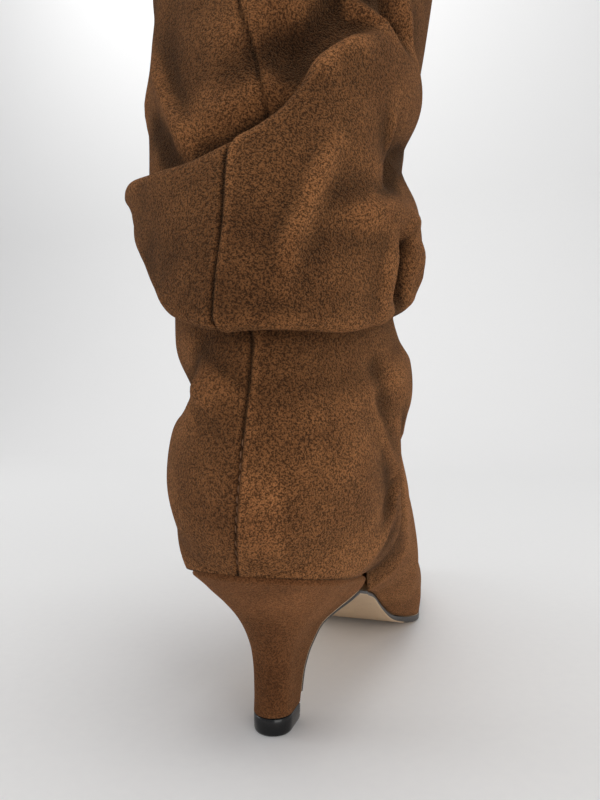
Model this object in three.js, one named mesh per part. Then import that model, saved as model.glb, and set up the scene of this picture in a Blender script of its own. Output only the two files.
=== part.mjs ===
// A right-foot slouch boot in suede: a hollow upper with a pushed-down shaft, a leather
// outsole that runs on down the heel breast, a covered cone heel, a heel tip and an insole.
//
// Millimetres, +Z up. The origin is the middle of the heel tip's floor face, +Y points to the
// toe and +X to the outer side of the foot.

import * as THREE from "three";

// Driving sizes
const lastLength = 252; // seat back to toe tip, measured along the floor
const ballWidth = 71; // outsole across the ball
const waistWidth = 42; // outsole at its narrowest, under the arch
const seatWidth = 54.4; // heel seat
const toeWidth = 11; // across the toe, before it is rounded off
const toeRound = 7.7; // how far back the toe's outline is rounded off
const noseRound = 10; // the same for the toe's top and sides
const heelHeight = 56; // back of the heel seat above the floor
const heelSetback = 29.6; // from the heel tip's middle back to the seat's back
const heelSeatLength = 59.4; // seat back to heel breast
const rimWidth = 3; // from the heel breast to where the bottom steps down in front of it
const instepHeight = 62; // top of the vamp above the last's bottom, at the waist
const bootHeight = 300; // collar above the floor
const shaftWidth = 100; // across the collar
const shaftDepth = 104; // collar, back to front
const wall = 1.7; // suede with its lining
const soleThickness = 3;
const insoleThickness = 2;
const tipWidth = 12.9;
const tipLength = 14.6;
const tipHeight = 5.6;
const tipTaper = 0.96; // the tip's size at the floor, as a share of its size above
const tipEdge = 1.1; // height over which it tapers
const flapThickness = 1.5; // outsole where it runs down the heel breast
const insoleMargin = 1.4; // between the insole's edge and the upper
const gap = 0.3; // between pieces that are glued together

// How finely the curved forms are divided
const sideColumns = 18;
const seatRows = 6;
const shankRows = 8;
const toeRows = 8;
const ankleRows = 10;
const foldRows = 8;
const bandRows = 8;
const topRows = 9;
const flapRows = 12;
const heelRows = 14;
const heelColumns = 8;

const seatBack = -heelSetback;
const radians = Math.PI / 180;

const lerp = (a, b, t) => a + (b - a) * t;
const clamp = (t) => Math.min(1, Math.max(0, t));
const smooth = (t) => clamp(t) ** 2 * (3 - 2 * clamp(t));

// A column of a table as a smooth function of the table's key. Slopes are limited so that the
// curve never passes beyond its rows.
function column(table, key, name) {
  const x = table.map((row) => row[key]);
  const v = table.map((row) => row[name]);
  const rise = x.slice(1).map((_, i) => (v[i + 1] - v[i]) / (x[i + 1] - x[i]));
  const slope = x.map((_, i) => {
    if (i === 0) return rise[0];
    if (i === x.length - 1) return rise[i - 1];
    if (rise[i - 1] * rise[i] <= 0) return 0;
    return (2 * rise[i - 1] * rise[i]) / (rise[i - 1] + rise[i]);
  });
  return (at) => {
    const here = Math.min(Math.max(at, x[0]), x[x.length - 1]);
    let i = 0;
    while (i < x.length - 2 && here > x[i + 1]) i += 1;
    const span = x[i + 1] - x[i];
    const t = (here - x[i]) / span;
    return (
      v[i] * (1 + 2 * t) * (1 - t) ** 2 +
      slope[i] * span * t * (1 - t) ** 2 +
      v[i + 1] * t * t * (3 - 2 * t) +
      slope[i + 1] * span * t * t * (t - 1)
    );
  };
}

// 0 at an end that is rounded off, rising like a quarter circle to 1 at `length` from it
const roundedEnd = (distance, length) =>
  Math.sqrt(Math.max(0, 1 - (1 - clamp(distance / length)) ** 2));

// Places along the last, as shares of its length from the seat back
const breastAt = heelSeatLength / lastLength;
const frontOfRim = (heelSeatLength + rimWidth) / lastLength;
const tread = { from: 0.63, to: 0.69 };

// The last's bottom. `at` is a share of the last's length from the seat back. `half` is half the
// outsole's width, `swing` is how far its middle lies to the outer side as a share of the ball's
// width, `lift` is its height above the tread as a share of the seat's, and `thick` is the
// outsole's thickness as a share of its thickness at the tread. In front of the heel's rim the
// bottom steps down, and `fill` is what the insole adds there, as a share of the heel's height.
const soleLine = [
  { at: 0, half: seatWidth * 0.5, swing: 0, lift: 1, thick: 0.5, fill: 0 },
  { at: 0.12, half: seatWidth * 0.5, swing: 0, lift: 0.892, thick: 0.5, fill: 0 },
  { at: breastAt, half: seatWidth * 0.46, swing: 0, lift: 0.787, thick: 0.5, fill: 0 },
  { at: frontOfRim, half: seatWidth * 0.45, swing: 0, lift: 0.66, thick: 0.5, fill: 0.09 },
  { at: 0.28, half: waistWidth * 0.555, swing: 0, lift: 0.61, thick: 0.55, fill: 0.068 },
  { at: 0.34, half: waistWidth * 0.52, swing: 0.004, lift: 0.52, thick: 0.62, fill: 0.02 },
  { at: 0.42, half: waistWidth * 0.5, swing: 0.01, lift: 0.33, thick: 0.7, fill: 0 },
  { at: 0.5, half: ballWidth * 0.322, swing: 0.01, lift: 0.135, thick: 0.85, fill: 0 },
  { at: 0.56, half: ballWidth * 0.395, swing: 0.002, lift: 0.045, thick: 1, fill: 0 },
  { at: 0.61, half: ballWidth * 0.459, swing: -0.02, lift: 0.004, thick: 1, fill: 0 },
  { at: tread.from, half: ballWidth * 0.472, swing: -0.035, lift: 0, thick: 1, fill: 0 },
  { at: tread.to, half: ballWidth * 0.482, swing: -0.07, lift: 0, thick: 1, fill: 0 },
  { at: 0.77, half: ballWidth * 0.44, swing: -0.092, lift: 0.014, thick: 1, fill: 0 },
  { at: 0.85, half: ballWidth * 0.345, swing: -0.092, lift: 0.05, thick: 1, fill: 0 },
  { at: 0.93, half: ballWidth * 0.21, swing: -0.075, lift: 0.097, thick: 0.95, fill: 0 },
  { at: 1, half: toeWidth * 0.5, swing: -0.05, lift: 0.15, thick: 0.9, fill: 0 },
];
const seatRound = seatWidth / 2;
const treadHeight = soleThickness + gap;
const soleHalf = column(soleLine, "at", "half");
const soleSwing = column(soleLine, "at", "swing");
const soleLift = column(soleLine, "at", "lift");
const soleThick = column(soleLine, "at", "thick");
const soleFill = column(soleLine, "at", "fill");
const yOf = (at) => seatBack + lastLength * at;
const swingOf = (at) => soleSwing(at) * ballWidth;
const lastBottom = (at) => lerp(treadHeight, heelHeight, soleLift(at));

// Half the width of the last's bottom, or of an outline `inset` inside it
function halfWidth(at, inset = 0) {
  const fromHeel = lastLength * at - inset;
  const fromToe = lastLength * (1 - at) - inset;
  return (
    Math.max(0, soleHalf(at) - inset) *
    roundedEnd(fromHeel, seatRound - inset) *
    roundedEnd(fromToe, toeRound - inset)
  );
}

const steps = (count) => Array.from({ length: count + 1 }, (_, i) => i / count);

// Where the upper, insole and outsole have their cross sections, from the toe to the heel
const stations = [
  ...steps(toeRows).map((t) => lerp(1, tread.to, 1 - Math.cos((Math.PI / 2) * t))),
  ...steps(shankRows).map((t) => lerp(tread.from, frontOfRim, t)),
  ...steps(seatRows).map((t) => breastAt * (1 - Math.sin((Math.PI / 2) * t))),
];

// The top line of the vamp over the last, from the ankle to the toe. `rise` is its height above
// the last's bottom as a share of the instep's, and `swing` leans it to the outer side as a
// share of the ball's width.
const vampLine = [
  { at: 0.443, rise: 1.66, swing: 0 },
  { at: 0.467, rise: 1.42, swing: -0.005 },
  { at: 0.506, rise: 1.19, swing: -0.012 },
  { at: 0.562, rise: 1, swing: -0.03 },
  { at: 0.633, rise: 0.8, swing: -0.055 },
  { at: 0.733, rise: 0.62, swing: -0.08 },
  { at: 0.832, rise: 0.45, swing: -0.085 },
  { at: 0.911, rise: 0.32, swing: -0.075 },
  { at: 1, rise: 0.17, swing: -0.05 },
];
const vampRise = column(vampLine, "at", "rise");
const vampSwing = column(vampLine, "at", "swing");
const noseEnd = (at) => roundedEnd(lastLength * (1 - at), noseRound);
const vampHeight = (at) => lastBottom(at) + instepHeight * vampRise(at) * noseEnd(at);

// Sections through the foot, from the heel forward. Each plane runs from `sole`, a share of the
// last's length along its bottom, up to `vamp`, a share along the vamp's top line. `outer` and
// `inner` are its fullest half widths as shares of the ball's width, `widest` is how far up
// they lie, and `peak` above 1 narrows its top.
const footSections = [
  { sole: 0, vamp: 0.443, outer: 0.55, inner: 0.53, widest: 0.43, peak: 0.82 },
  { sole: 0.04, vamp: 0.448, outer: 0.53, inner: 0.53, widest: 0.37, peak: 0.82 },
  { sole: 0.1, vamp: 0.456, outer: 0.53, inner: 0.53, widest: 0.31, peak: 0.8 },
  { sole: 0.2, vamp: 0.47, outer: 0.53, inner: 0.5, widest: 0.29, peak: 0.8 },
  { sole: 0.3, vamp: 0.488, outer: 0.53, inner: 0.47, widest: 0.28, peak: 0.82 },
  { sole: 0.4, vamp: 0.513, outer: 0.52, inner: 0.45, widest: 0.28, peak: 0.88 },
  { sole: 0.5, vamp: 0.553, outer: 0.485, inner: 0.445, widest: 0.26, peak: 0.95 },
  { sole: 0.6, vamp: 0.612, outer: 0.488, inner: 0.49, widest: 0.26, peak: 0.98 },
  { sole: 0.7, vamp: 0.706, outer: 0.5, inner: 0.51, widest: 0.28, peak: 0.98 },
  { sole: 0.82, vamp: 0.824, outer: 0.41, inner: 0.41, widest: 0.3, peak: 0.96 },
  { sole: 0.93, vamp: 0.932, outer: 0.225, inner: 0.225, widest: 0.3, peak: 0.92 },
  { sole: 1, vamp: 1, outer: 0.088, inner: 0.088, widest: 0.3, peak: 0.9 },
];
const foot = Object.fromEntries(
  ["vamp", "outer", "inner", "widest", "peak"].map((name) => [
    name,
    column(footSections, "sole", name),
  ]),
);

// A point of a section that rises from the feather line to its top. `side` runs from -1 at its
// inner foot over 0 at its top to 1 at its outer foot. A section with no width at its foot is
// a whole ring, whose -1 and 1 meet at its back.
function sectionPoint(section, side) {
  const { low, high, half, outer, inner, widest, peak, middle, lean } = section;
  const full = Math.max(side > 0 ? outer : inner, half);
  const below = full > 0 ? Math.acos(clamp(half / full)) : 0;
  const turn = lerp(Math.PI / 2, -below, Math.abs(side));
  const above = turn > 0;
  const reach = full * Math.max(0, Math.cos(turn)) ** (above ? peak : 1);
  const drop = below > 0 ? widest / Math.sin(below) : 0;
  const up = above ? lerp(widest, 1, Math.sin(turn)) : widest + drop * Math.sin(turn);
  return new THREE.Vector3(
    lerp(middle, lean, up) + Math.sign(side) * reach,
    lerp(low[0], high[0], up),
    lerp(low[1], high[1], up),
  );
}

// Rings of the ankle and shaft above the heel seat, before they are folded. `level` counts up
// from the seat to the collar. A ring's back is at `rear` and `low` and its front is at `fore`
// and `high`; `outer` and `inner` are its half widths. Heights are shares of the boot's, and the
// rest are shares of the shaft's depth and width. The folds and the seat have levels of their own.
const foldLevel = { lower: 0.5, upper: 0.8, half: 0.03 };
const ankleLevel = 0.3;
const shaftRings = [
  { level: 0.1, rear: -0.335, low: 0.228, fore: 0.785, high: 0.415, outer: 0.405, inner: 0.4, peak: 0.8 },
  { level: 0.2, rear: -0.35, low: 0.27, fore: 0.78, high: 0.424, outer: 0.42, inner: 0.385, peak: 0.78 },
  { level: 0.3, rear: -0.34, low: 0.318, fore: 0.775, high: 0.434, outer: 0.41, inner: 0.37, peak: 0.78 },
  { level: 0.4, rear: -0.315, low: 0.365, fore: 0.765, high: 0.445, outer: 0.365, inner: 0.39, peak: 0.86 },
  { level: 0.5, rear: -0.3, low: 0.415, fore: 0.75, high: 0.46, outer: 0.345, inner: 0.4, peak: 1 },
  { level: 0.6, rear: -0.31, low: 0.475, fore: 0.7, high: 0.51, outer: 0.37, inner: 0.395, peak: 1 },
  { level: 0.7, rear: -0.31, low: 0.54, fore: 0.68, high: 0.57, outer: 0.385, inner: 0.415, peak: 1 },
  { level: 0.8, rear: -0.305, low: 0.6, fore: 0.67, high: 0.63, outer: 0.385, inner: 0.425, peak: 1 },
  { level: 0.87, rear: -0.3, low: 0.72, fore: 0.67, high: 0.74, outer: 0.43, inner: 0.428, peak: 1 },
  { level: 0.93, rear: -0.305, low: 0.85, fore: 0.68, high: 0.86, outer: 0.47, inner: 0.42, peak: 1 },
  { level: 1, rear: -0.31, low: 1, fore: 0.69, high: 1, outer: 0.49, inner: 0.45, peak: 1 },
];
const ringColumn = (name, size, atSeat) => {
  const rows = shaftRings.map((ring) => ({ level: ring.level, value: ring[name] * size }));
  return column([{ level: 0, value: atSeat }, ...rows], "level", "value");
};
const shaft = {
  rear: ringColumn("rear", shaftDepth, seatBack),
  low: ringColumn("low", bootHeight, heelHeight),
  fore: ringColumn("fore", shaftDepth, yOf(foot.vamp(0))),
  high: ringColumn("high", bootHeight, vampHeight(foot.vamp(0))),
  outer: ringColumn("outer", shaftWidth, foot.outer(0) * ballWidth),
  inner: ringColumn("inner", shaftWidth, foot.inner(0) * ballWidth),
  peak: ringColumn("peak", 1, foot.peak(0)),
  widest: (level) => lerp(foot.widest(0), 1 / 2, smooth(level / ankleLevel)),
};

// The two folds that make the slouch. `toward` is a direction in degrees round the shaft: 0 is
// the back, 90 the outer side and 180 the front. At each one the leather steps sideways by
// `depth`, a share of the shaft's width, round `height`, a share of the boot's. `turn` is how
// far it turns from upright on the way, and past 90 it overhangs.
const lowerFold = [
  { toward: -180, height: 0.475, depth: 0.08, turn: 60 },
  { toward: -120, height: 0.5, depth: 0.12, turn: 55 },
  { toward: -80, height: 0.512, depth: 0.14, turn: 56 },
  { toward: -58, height: 0.514, depth: 0.14, turn: 56 },
  { toward: -42, height: 0.498, depth: 0.135, turn: 58 },
  { toward: -28, height: 0.46, depth: 0.115, turn: 75 },
  { toward: -16, height: 0.434, depth: 0.115, turn: 115 },
  { toward: 0, height: 0.42, depth: 0.118, turn: 125 },
  { toward: 28, height: 0.42, depth: 0.118, turn: 125 },
  { toward: 50, height: 0.434, depth: 0.115, turn: 118 },
  { toward: 70, height: 0.452, depth: 0.11, turn: 95 },
  { toward: 110, height: 0.47, depth: 0.1, turn: 80 },
  { toward: 180, height: 0.475, depth: 0.08, turn: 60 },
];
const upperFold = [
  { toward: -180, height: 0.665, depth: 0.05, turn: 45 },
  { toward: -120, height: 0.63, depth: 0.05, turn: 50 },
  { toward: -80, height: 0.602, depth: 0.07, turn: 75 },
  { toward: -55, height: 0.592, depth: 0.09, turn: 100 },
  { toward: -31, height: 0.58, depth: 0.1, turn: 110 },
  { toward: -12, height: 0.573, depth: 0.105, turn: 110 },
  { toward: 3, height: 0.585, depth: 0.105, turn: 110 },
  { toward: 14, height: 0.61, depth: 0.1, turn: 105 },
  { toward: 23, height: 0.64, depth: 0.08, turn: 75 },
  { toward: 34, height: 0.675, depth: 0.055, turn: 45 },
  { toward: 55, height: 0.71, depth: 0.035, turn: 30 },
  { toward: 110, height: 0.71, depth: 0.03, turn: 30 },
  { toward: 180, height: 0.665, depth: 0.05, turn: 45 },
];

// The fold in a direction, in millimetres and radians
const foldOf = (table) => {
  const height = column(table, "toward", "height");
  const depth = column(table, "toward", "depth");
  const turn = column(table, "toward", "turn");
  return (toward) => ({
    height: height(toward) * bootHeight,
    depth: depth(toward) * shaftWidth,
    turn: turn(toward) * radians,
  });
};
const foldsAt = [foldOf(lowerFold), foldOf(upperFold)];
const foldStarts = [foldLevel.lower, foldLevel.upper];

// The leather's way sideways (`part` is the sine) or up (the cosine) between two places in a
// fold, which runs from -1 to 1 and is turned furthest at 0
const foldSteps = 24;
function alongFold(turn, from, to, part) {
  const middles = steps(foldSteps).slice(1).map((t) => t - 1 / (2 * foldSteps));
  const heading = (at) => turn * Math.cos((Math.PI / 2) * at) ** 2;
  const sum = middles.reduce((total, t) => total + part(heading(lerp(from, to, t))), 0);
  return (sum * (to - from)) / foldSteps;
}

// Where the leather is in a fold: `out` as a share of its sideways step, and `up` as a height
// over the fold's middle
function foldWay(fold, at) {
  const whole = alongFold(fold.turn, -1, 1, Math.sin);
  return {
    out: alongFold(fold.turn, -1, at, Math.sin) / whole,
    up: (fold.depth * alongFold(fold.turn, 0, at, Math.cos)) / whole,
  };
}

// Troughs (depth below 0) and ridges of the leather. Each runs from one direction and height to
// another, and its depth and width are shares of the shaft's width.
const creases = [
  { from: [120, 0.655], to: [62, 0.605], depth: -0.08, width: 0.12 },
  { from: [70, 0.5], to: [68, 0.46], depth: -0.13, width: 0.085 },
  { from: [-85, 0.345], to: [-28, 0.372], depth: -0.05, width: 0.085 },
  { from: [70, 0.24], to: [58, 0.34], depth: -0.03, width: 0.12 },
];

// Outward from the middle of the ring at a level, and that direction in degrees
const ringMiddle = (level) => (shaft.rear(level) + shaft.fore(level)) / 2;
const outwardAt = (point, level) =>
  new THREE.Vector3(point.x, point.y - ringMiddle(level), 0).normalize();
const towardOf = (outward) => Math.atan2(outward.x, -outward.y) / radians;

// How far the creases move the leather out at a direction and height
function creaseDepth(toward, height) {
  const arc = (shaftWidth / 2) * radians;
  return creases.reduce((sum, crease) => {
    const start = [crease.from[0] * arc, crease.from[1] * bootHeight];
    const run = [crease.to[0] * arc - start[0], crease.to[1] * bootHeight - start[1]];
    const away = [toward * arc - start[0], height - start[1]];
    const along = clamp(
      (away[0] * run[0] + away[1] * run[1]) / (run[0] ** 2 + run[1] ** 2),
    );
    const distance = Math.hypot(away[0] - along * run[0], away[1] - along * run[1]);
    const width = crease.width * shaftWidth;
    return sum + crease.depth * shaftWidth * Math.exp(-((distance / width) ** 2));
  }, 0);
}

// The foot, from the toe (share 1 of the last) to the seat's back (share 0)
function footPoint(at, side) {
  const vamp = foot.vamp(at);
  const point = sectionPoint(
    {
      low: [yOf(at), lastBottom(at)],
      high: [yOf(vamp), vampHeight(vamp)],
      half: halfWidth(at),
      outer: foot.outer(at) * ballWidth * noseEnd(at),
      inner: foot.inner(at) * ballWidth * noseEnd(at),
      widest: foot.widest(at),
      peak: foot.peak(at),
      middle: swingOf(at),
      lean: vampSwing(vamp) * ballWidth,
    },
    side,
  );
  const outward = outwardAt(point, 0);
  const out = creaseDepth(towardOf(outward), point.z);
  const onFeather = Math.abs(side) === 1;
  return onFeather ? point : point.addScaledVector(outward, out);
}

// A point of the shaft. `level` is 0 at the heel seat and 1 at the collar, and between a fold's
// own levels the leather goes through the fold.
function shaftPoint(level, side) {
  const ring = (at) =>
    sectionPoint(
      {
        low: [shaft.rear(at), shaft.low(at)],
        high: [shaft.fore(at), shaft.high(at)],
        half: 0,
        outer: shaft.outer(at),
        inner: shaft.inner(at),
        widest: shaft.widest(at),
        peak: shaft.peak(at),
        middle: 0,
        lean: 0,
      },
      side,
    );
  const point = ring(level);
  const outward = outwardAt(point, level);
  const toward = towardOf(outward);
  const folds = foldsAt.map((foldAt) => foldAt(toward));
  const knots = [{ level: 0, shift: 0 }];
  folds.forEach((fold, i) => {
    const reach = foldWay(fold, 1).up;
    [-1, 1].forEach((end) => {
      const at = foldStarts[i] + end * foldLevel.half;
      knots.push({ level: at, shift: fold.height + end * reach - ring(at).z });
    });
  });
  knots.push({ level: 1, shift: 0 });
  const k = knots.findIndex((knot, i) => i > 0 && (level <= knot.level || knot.level === 1));
  const [before, after] = [knots[k - 1], knots[k]];
  const between = clamp((level - before.level) / (after.level - before.level));
  let height = point.z + lerp(before.shift, after.shift, between);
  let out = creaseDepth(toward, height);
  folds.forEach((fold, i) => {
    const at = Math.max(-1, Math.min(1, (level - foldStarts[i]) / foldLevel.half));
    const way = foldWay(fold, at);
    if (Math.abs(at) < 1) height = fold.height + way.up;
    out += (i === 0 ? 1 : -1) * fold.depth * way.out;
  });
  return new THREE.Vector3(point.x, point.y, height).addScaledVector(outward, out);
}

// The points and faces of a grid of points in rows, with points that lie together made one. A
// closed grid joins the end of each row to its start.
const finest = 1e-4;
function sheet(rows, closed) {
  const points = [];
  const known = new Map();
  const indexOf = (point) => {
    const key = point.toArray().map((v) => Math.round(v / finest)).join();
    if (!known.has(key)) {
      known.set(key, points.length);
      points.push(point);
    }
    return known.get(key);
  };
  const grid = rows.map((row) => row.map(indexOf));
  const faces = [];
  const addFace = (a, b, c) => {
    if (a !== b && b !== c && c !== a) faces.push([a, b, c]);
  };
  for (let i = 0; i + 1 < grid.length; i += 1) {
    const count = grid[i].length;
    for (let j = 0; j < (closed ? count : count - 1); j += 1) {
      const next = (j + 1) % count;
      addFace(grid[i][j], grid[i + 1][j], grid[i + 1][next]);
      addFace(grid[i][j], grid[i + 1][next], grid[i][next]);
    }
  }
  return { points, grid, faces, addFace };
}

// A geometry of points and faces, with the faces turned to point out
function body(points, faces) {
  const volume = faces.reduce(
    (sum, [a, b, c]) => sum + points[a].dot(points[b].clone().cross(points[c])),
    0,
  );
  const index = faces.flatMap(([a, b, c]) => (volume > 0 ? [a, b, c] : [a, c, b]));
  const positions = points.flatMap((point) => point.toArray());
  const geometry = new THREE.BufferGeometry();
  geometry.setAttribute("position", new THREE.Float32BufferAttribute(positions, 3));
  geometry.setIndex(index);
  geometry.computeVertexNormals();
  return geometry;
}

// A closed body from rows of points on its outer face, with a wall of even thickness. Its open
// edges stay level.
function hollowBody(rows, thickness) {
  const { points, faces } = sheet(rows, false);
  const normals = points.map(() => new THREE.Vector3());
  const edges = new Map();
  faces.forEach(([a, b, c]) => {
    const across = points[b].clone().sub(points[a]);
    const normal = across.cross(points[c].clone().sub(points[a]));
    [a, b, c].forEach((v) => normals[v].add(normal));
    const around = [[a, b], [b, c], [c, a]];
    around.forEach((edge) => edges.set(edge.join(), edge));
  });
  const openEdges = [...edges.values()].filter(([a, b]) => !edges.has([b, a].join()));
  openEdges.flat().forEach((v) => normals[v].setZ(0));
  const inside = points.map((point, v) =>
    point.clone().addScaledVector(normals[v].normalize(), -thickness),
  );
  const count = points.length;
  const inner = faces.map(([a, b, c]) => [a + count, c + count, b + count]);
  const rims = openEdges.flatMap(([a, b]) => [
    [b, a, a + count],
    [b, a + count, b + count],
  ]);
  return body([...points, ...inside], [...faces, ...inner, ...rims]);
}

// A closed body through closed rings of points, each with as many points as the next
function loftedBody(rings) {
  const { points, grid, faces, addFace } = sheet(rings, true);
  const first = grid[0];
  const last = grid[grid.length - 1];
  for (let j = 1; j + 1 < first.length; j += 1) {
    addFace(first[0], first[j], first[j + 1]);
    addFace(last[0], last[j + 1], last[j]);
  }
  return body(points, faces);
}

// The upper: the foot's sections from the toe back to the seat, then the shaft's rings
function upperGeometry() {
  const sides = steps(2 * sideColumns).map((t) => 2 * t - 1);
  const zones = [
    { to: foldLevel.lower - foldLevel.half, count: ankleRows },
    { to: foldLevel.lower + foldLevel.half, count: foldRows },
    { to: foldLevel.upper - foldLevel.half, count: bandRows },
    { to: foldLevel.upper + foldLevel.half, count: foldRows },
    { to: 1, count: topRows },
  ];
  const levels = zones.flatMap(({ to, count }, i) => {
    const from = i > 0 ? zones[i - 1].to : 0;
    return steps(count)
      .slice(1)
      .map((t) => lerp(from, to, t));
  });
  const rows = [
    ...stations.map((at) => sides.map((side) => footPoint(at, side))),
    ...levels.map((level) => sides.map((side) => shaftPoint(level, side))),
  ];
  return hollowBody(rows, wall);
}

// The heel between its tip and the seat. `rise` is the share of its height, `spread` is how far
// its half width and its back have grown from the tip's to the seat's, `breast` is how far its
// front has, and `corner` is how far the front's own half width has.
const heelLine = [
  { rise: 0, spread: 0, breast: 0, corner: 0 },
  { rise: 0.1, spread: -0.005, breast: 0.005, corner: 0.02 },
  { rise: 0.25, spread: 0.002, breast: 0.035, corner: 0.05 },
  { rise: 0.4, spread: 0.035, breast: 0.11, corner: 0.11 },
  { rise: 0.52, spread: 0.11, breast: 0.19, corner: 0.2 },
  { rise: 0.64, spread: 0.24, breast: 0.28, corner: 0.32 },
  { rise: 0.76, spread: 0.45, breast: 0.43, corner: 0.58 },
  { rise: 0.84, spread: 0.63, breast: 0.63, corner: 0.79 },
  { rise: 0.9, spread: 0.765, breast: 0.985, corner: 0.93 },
  { rise: 1, spread: 1, breast: 1, corner: 1 },
];
const heelSpread = column(heelLine, "rise", "spread");
const heelBreast = column(heelLine, "rise", "breast");
const heelCorner = column(heelLine, "rise", "corner");
const tipTop = tipHeight + gap;
const tipFront = tipLength - tipWidth / 2;

// The heel's front line, from the tip (0) to the seat (1)
const breastPoint = (rise) => ({
  y: lerp(tipFront, seatBack + heelSeatLength, heelBreast(rise)),
  z: lerp(tipTop, lastBottom(breastAt) - gap, rise),
  half: lerp(tipWidth / 2, halfWidth(breastAt), heelCorner(rise)),
});

function heelRing(rise) {
  const half = lerp(tipWidth / 2, seatWidth / 2, heelSpread(rise));
  const rear = lerp(-tipWidth / 2, seatBack, heelSpread(rise));
  const rearHeight = lerp(tipTop, heelHeight - gap, rise);
  const breast = breastPoint(rise);
  const point = (x, y) =>
    new THREE.Vector3(x, y, lerp(rearHeight, breast.z, (y - rear) / (breast.y - rear)));
  const round = steps(2 * heelColumns).map((t) => {
    const turn = Math.PI * (t - 0.5);
    return point(half * Math.sin(turn), rear + half * (1 - Math.cos(turn)));
  });
  const alongSide = (side) =>
    steps(3)
      .slice(1)
      .map((t) => point(side * lerp(half, breast.half, t), lerp(rear + half, breast.y, t)));
  return [...round, ...alongSide(1), point(0, breast.y), ...alongSide(-1).reverse()];
}

const heelGeometry = () => loftedBody(steps(heelRows).map(heelRing));

// The heel tip: round at the back and flat at the breast, a little smaller at the floor
function heelTipGeometry() {
  const ring = (size, z) => {
    const radius = (tipWidth / 2) * size;
    const round = steps(3 * heelColumns).map((t) => {
      const turn = Math.PI * (t - 0.5);
      return new THREE.Vector3(radius * Math.sin(turn), -radius * Math.cos(turn), z);
    });
    const front = tipFront * size;
    return [
      ...round,
      new THREE.Vector3(radius, front, z),
      new THREE.Vector3(-radius, front, z),
    ];
  };
  return loftedBody([ring(tipTaper, 0), ring(1, tipEdge), ring(1, tipHeight)]);
}

// A bent plate: each section has the middle of its top, the direction its thickness takes, its
// thickness and its half width
function plate(sections) {
  return loftedBody(
    sections.map(({ x, y, z, away, thick, half }) => {
      const corner = (side, depth) =>
        new THREE.Vector3(x + side * half, y + away.y * depth, z + away.z * depth);
      return [corner(-1, 0), corner(1, 0), corner(1, thick), corner(-1, thick)];
    }),
  );
}

// The outsole from the toe to the heel breast, and on down the breast as a flap. `flapRise` is
// where the flap starts and ends, as shares of the heel's height.
const flapRise = { from: 0.875, to: 0.08 };
function outsoleGeometry() {
  const down = { y: 0, z: -1 };
  const forward = stations
    .filter((at) => at > breastAt)
    .map((at) => ({
      x: swingOf(at),
      y: yOf(at),
      z: lastBottom(at) - gap,
      away: down,
      thick: soleThickness * soleThick(at),
      half: halfWidth(at),
    }));
  const flap = steps(flapRows).map((t) => {
    const rise = lerp(flapRise.from, flapRise.to, t);
    const here = breastPoint(rise);
    const above = breastPoint(rise + 1 / heelRows);
    const below = breastPoint(rise - 1 / heelRows);
    const run = Math.hypot(above.y - below.y, above.z - below.z);
    const away = { y: (above.z - below.z) / run, z: (below.y - above.y) / run };
    return {
      x: 0,
      y: here.y + away.y * gap,
      z: here.z + away.z * gap,
      away,
      thick: flapThickness,
      half: here.half,
    };
  });
  return plate([...forward, ...flap]);
}

// The insole lies on the last's bottom inside the upper
function insoleGeometry() {
  const inset = wall + insoleMargin;
  const end = inset / lastLength;
  const inside = stations.filter((at) => at > end && at < 1 - end);
  return plate(
    [1 - end, ...inside, end].map((at) => ({
      x: swingOf(at),
      y: yOf(at),
      z: lastBottom(at),
      away: { y: 0, z: 1 },
      thick: insoleThickness + heelHeight * soleFill(at),
      half: halfWidth(at, inset),
    })),
  );
}

// The boot
const suede = { color: 0x8a5a32, roughness: 0.95, metalness: 0 };
const leather = { color: 0xc9a27a, roughness: 0.55, metalness: 0 };
const board = { color: 0xb98d63, roughness: 0.8, metalness: 0 };
const tipPlastic = { color: 0x0d0d0d, roughness: 0.25, metalness: 0 };

const boot = new THREE.Group();
boot.name = "boot";
[
  ["upper", upperGeometry(), suede],
  ["outsole", outsoleGeometry(), leather],
  ["insole", insoleGeometry(), board],
  ["heel", heelGeometry(), suede],
  ["heel_tip", heelTipGeometry(), tipPlastic],
].forEach(([name, geometry, finish]) => {
  const mesh = new THREE.Mesh(geometry, new THREE.MeshStandardMaterial(finish));
  mesh.name = name;
  boot.add(mesh);
});

export default boot;
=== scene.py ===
# A right-foot slouch boot in brown suede, standing on a pale sweep. Metres, +Z up, +Y to the toe
# and +X to the outer side of the foot. The origin is on the floor under the heel tip.

import math
from types import SimpleNamespace

import bpy
import numpy as np
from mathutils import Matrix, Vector


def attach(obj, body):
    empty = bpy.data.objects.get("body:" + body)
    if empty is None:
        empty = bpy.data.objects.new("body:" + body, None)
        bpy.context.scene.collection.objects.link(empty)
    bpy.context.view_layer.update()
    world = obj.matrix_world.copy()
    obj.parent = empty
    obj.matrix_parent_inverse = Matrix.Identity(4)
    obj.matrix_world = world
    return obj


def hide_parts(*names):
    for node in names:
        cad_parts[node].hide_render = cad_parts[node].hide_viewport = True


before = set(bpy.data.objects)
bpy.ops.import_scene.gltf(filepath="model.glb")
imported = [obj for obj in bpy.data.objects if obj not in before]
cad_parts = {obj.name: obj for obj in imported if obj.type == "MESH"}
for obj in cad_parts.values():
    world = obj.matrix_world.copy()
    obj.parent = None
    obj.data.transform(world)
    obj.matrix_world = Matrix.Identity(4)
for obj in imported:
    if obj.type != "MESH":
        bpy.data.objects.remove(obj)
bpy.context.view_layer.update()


# The camera stands close behind the heel at ankle height, a little to the outer side, and looks
# almost level. The shaft runs out of the top of its view.

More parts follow.
